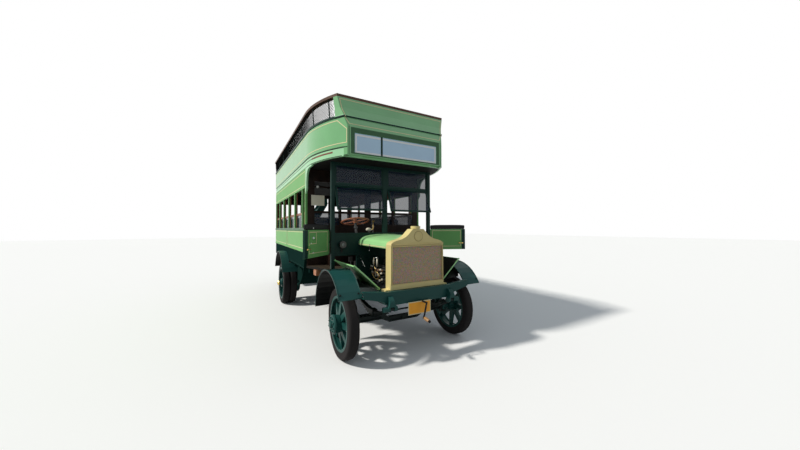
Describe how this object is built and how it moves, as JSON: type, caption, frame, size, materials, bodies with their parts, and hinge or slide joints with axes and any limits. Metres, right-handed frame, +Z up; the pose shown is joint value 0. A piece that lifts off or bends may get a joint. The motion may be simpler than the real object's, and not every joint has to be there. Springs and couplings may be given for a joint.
{
  "type": "double decker bus",
  "caption": "Open-top double decker bus on solid tyres, with an open cab, half doors, a bonnet with hinged sides, and a rear platform with a staircase",
  "frame": {"origin": "centre of the bottom face of the bounding box, on the ground", "axes": "+Z up, +Y to the rear of the bus (its longest extent), +X to the left side of the bus"},
  "size_m": [3.0016, 7.3142, 3.67],
  "materials": {
    "body_green": "gloss body paint, mid green",
    "hood_green": "gloss body paint, mid green",
    "chassis_teal": "gloss chassis paint, dark teal green",
    "post_green": "gloss paint, dark green",
    "tan_casting": "satin paint, tan",
    "core_metal": "dulled finned tube",
    "tyre_rubber": "solid rubber",
    "engine_iron": "oiled casting",
    "spring_steel": "painted spring leaves",
    "rail_wood": "varnished, dark brown",
    "sash_wood": "varnished, red brown",
    "floor_wood": "worn boards",
    "seat_wood": "varnished slats",
    "glass_clear": "clear sheet",
    "cushion_leather": "black leathercloth",
    "steel_bright": "bare steel",
    "sign_slate": "matt slate board",
    "inner_cream": "satin inner paint"
  },
  "bodies": {
    "chassis": {"chassis_frame": "chassis_teal", "leaf_springs": "spring_steel", "front_axle": "chassis_teal", "rear_axle": "chassis_teal", "engine_and_gearbox": "engine_iron", "engine_fittings": "engine_iron", "radiator_shell": "tan_casting", "radiator_core": "core_metal", "bonnet_top": "hood_green", "dash_panel": "chassis_teal", "dash_lamp": "steel_bright", "cab_front_frame": "post_green", "window_glass": "glass_clear", "cab_controls": "steel_bright", "front_fenders": "chassis_teal", "rear_fenders": "chassis_teal", "rocker_panels": "chassis_teal", "floor_bearers": "chassis_teal", "lower_floor": "floor_wood", "cab_steps": "seat_wood", "saloon_sides": "body_green", "window_frames": "sash_wood", "bulkheads": "inner_cream", "saloon_seats": "sash_wood", "seat_cushions": "cushion_leather", "driver_seat": "sash_wood", "cornice": "body_green", "upper_floor": "floor_wood", "upper_panels": "body_green", "belt_and_guard_posts": "post_green", "front_fascia": "body_green", "sign_box": "sign_slate", "top_rail": "rail_wood", "upper_seats": "seat_wood", "platform_and_stairs": "chassis_teal", "platform_panels": "body_green", "starting_crank": "steel_bright"},
    "knuckle_left": {"knuckle_left": "chassis_teal"},
    "knuckle_right": {"knuckle_right": "chassis_teal"},
    "track_rod": {"track_rod": "chassis_teal"},
    "steering_wheel": {"steering_wheel": "rail_wood"},
    "front_wheel_left": {"front_wheel_left": "chassis_teal", "front_tyre_left": "tyre_rubber"},
    "front_wheel_right": {"front_wheel_right": "chassis_teal", "front_tyre_right": "tyre_rubber"},
    "rear_wheel_left": {"rear_wheel_left": "chassis_teal", "rear_tyres_left": "tyre_rubber"},
    "rear_wheel_right": {"rear_wheel_right": "chassis_teal", "rear_tyres_right": "tyre_rubber"},
    "cab_door_left": {"cab_door_left": "body_green", "door_pad_left": "cushion_leather"},
    "cab_door_right": {"cab_door_right": "body_green", "door_pad_right": "cushion_leather"},
    "bonnet_side_left": {"bonnet_side_left": "hood_green"},
    "bonnet_side_right": {"bonnet_side_right": "hood_green"}
  },
  "joints": [
    {"name": "steer_left", "type": "hinge", "parent": "chassis", "child": "knuckle_left", "pos_m": [0.69448, -2.88292, 0.469], "axis": [0, 0, 1], "range_deg": [-30, 30]},
    {"name": "steer_right", "type": "hinge", "parent": "chassis", "child": "knuckle_right", "pos_m": [-0.85552, -2.88292, 0.469], "axis": [0, 0, 1], "range_deg": [-30, 30]},
    {"name": "track_rod_pivot", "type": "hinge", "parent": "knuckle_left", "child": "track_rod", "pos_m": [0.69448, -2.69292, 0.465], "axis": [0, 0, 1], "range_deg": [-30, 30]},
    {"name": "steering_wheel_turn", "type": "hinge", "parent": "chassis", "child": "steering_wheel", "pos_m": [-0.51052, -2.03292, 1.85], "axis": [0, 0.225, 0.9744], "range_deg": [-360, 360]},
    {"name": "front_wheel_left_spin", "type": "hinge", "parent": "knuckle_left", "child": "front_wheel_left", "pos_m": [0.84848, -2.88292, 0.469], "axis": [1, 0, 0], "continuous": true},
    {"name": "front_wheel_right_spin", "type": "hinge", "parent": "knuckle_right", "child": "front_wheel_right", "pos_m": [-1.00952, -2.88292, 0.469], "axis": [1, 0, 0], "continuous": true},
    {"name": "rear_wheel_left_spin", "type": "hinge", "parent": "chassis", "child": "rear_wheel_left", "pos_m": [0.95048, 0.64408, 0.469], "axis": [1, 0, 0], "continuous": true},
    {"name": "rear_wheel_right_spin", "type": "hinge", "parent": "chassis", "child": "rear_wheel_right", "pos_m": [-1.11152, 0.64408, 0.469], "axis": [1, 0, 0], "continuous": true},
    {"name": "cab_door_left_hinge", "type": "hinge", "parent": "chassis", "child": "cab_door_left", "pos_m": [0.86148, -2.24892, 1.524], "axis": [0, 0, 1], "range_deg": [0, 96]},
    {"name": "cab_door_right_hinge", "type": "hinge", "parent": "chassis", "child": "cab_door_right", "pos_m": [-1.02252, -2.24892, 1.524], "axis": [0, 0, -1], "range_deg": [0, 120]},
    {"name": "bonnet_side_left_hinge", "type": "hinge", "parent": "chassis", "child": "bonnet_side_left", "pos_m": [0.41948, -2.74292, 0.903], "axis": [0, -1, 0], "range_deg": [0, 50]},
    {"name": "bonnet_side_right_hinge", "type": "hinge", "parent": "chassis", "child": "bonnet_side_right", "pos_m": [-0.58052, -2.74292, 0.903], "axis": [0, 1, 0], "range_deg": [0, 50]}
  ],
  "couplings": [
    {"joint": "steer_right", "follows": "steer_left", "ratio": 1},
    {"joint": "track_rod_pivot", "follows": "steer_left", "ratio": -1},
    {"joint": "steering_wheel_turn", "follows": "steer_left", "ratio": 12}
  ]
}
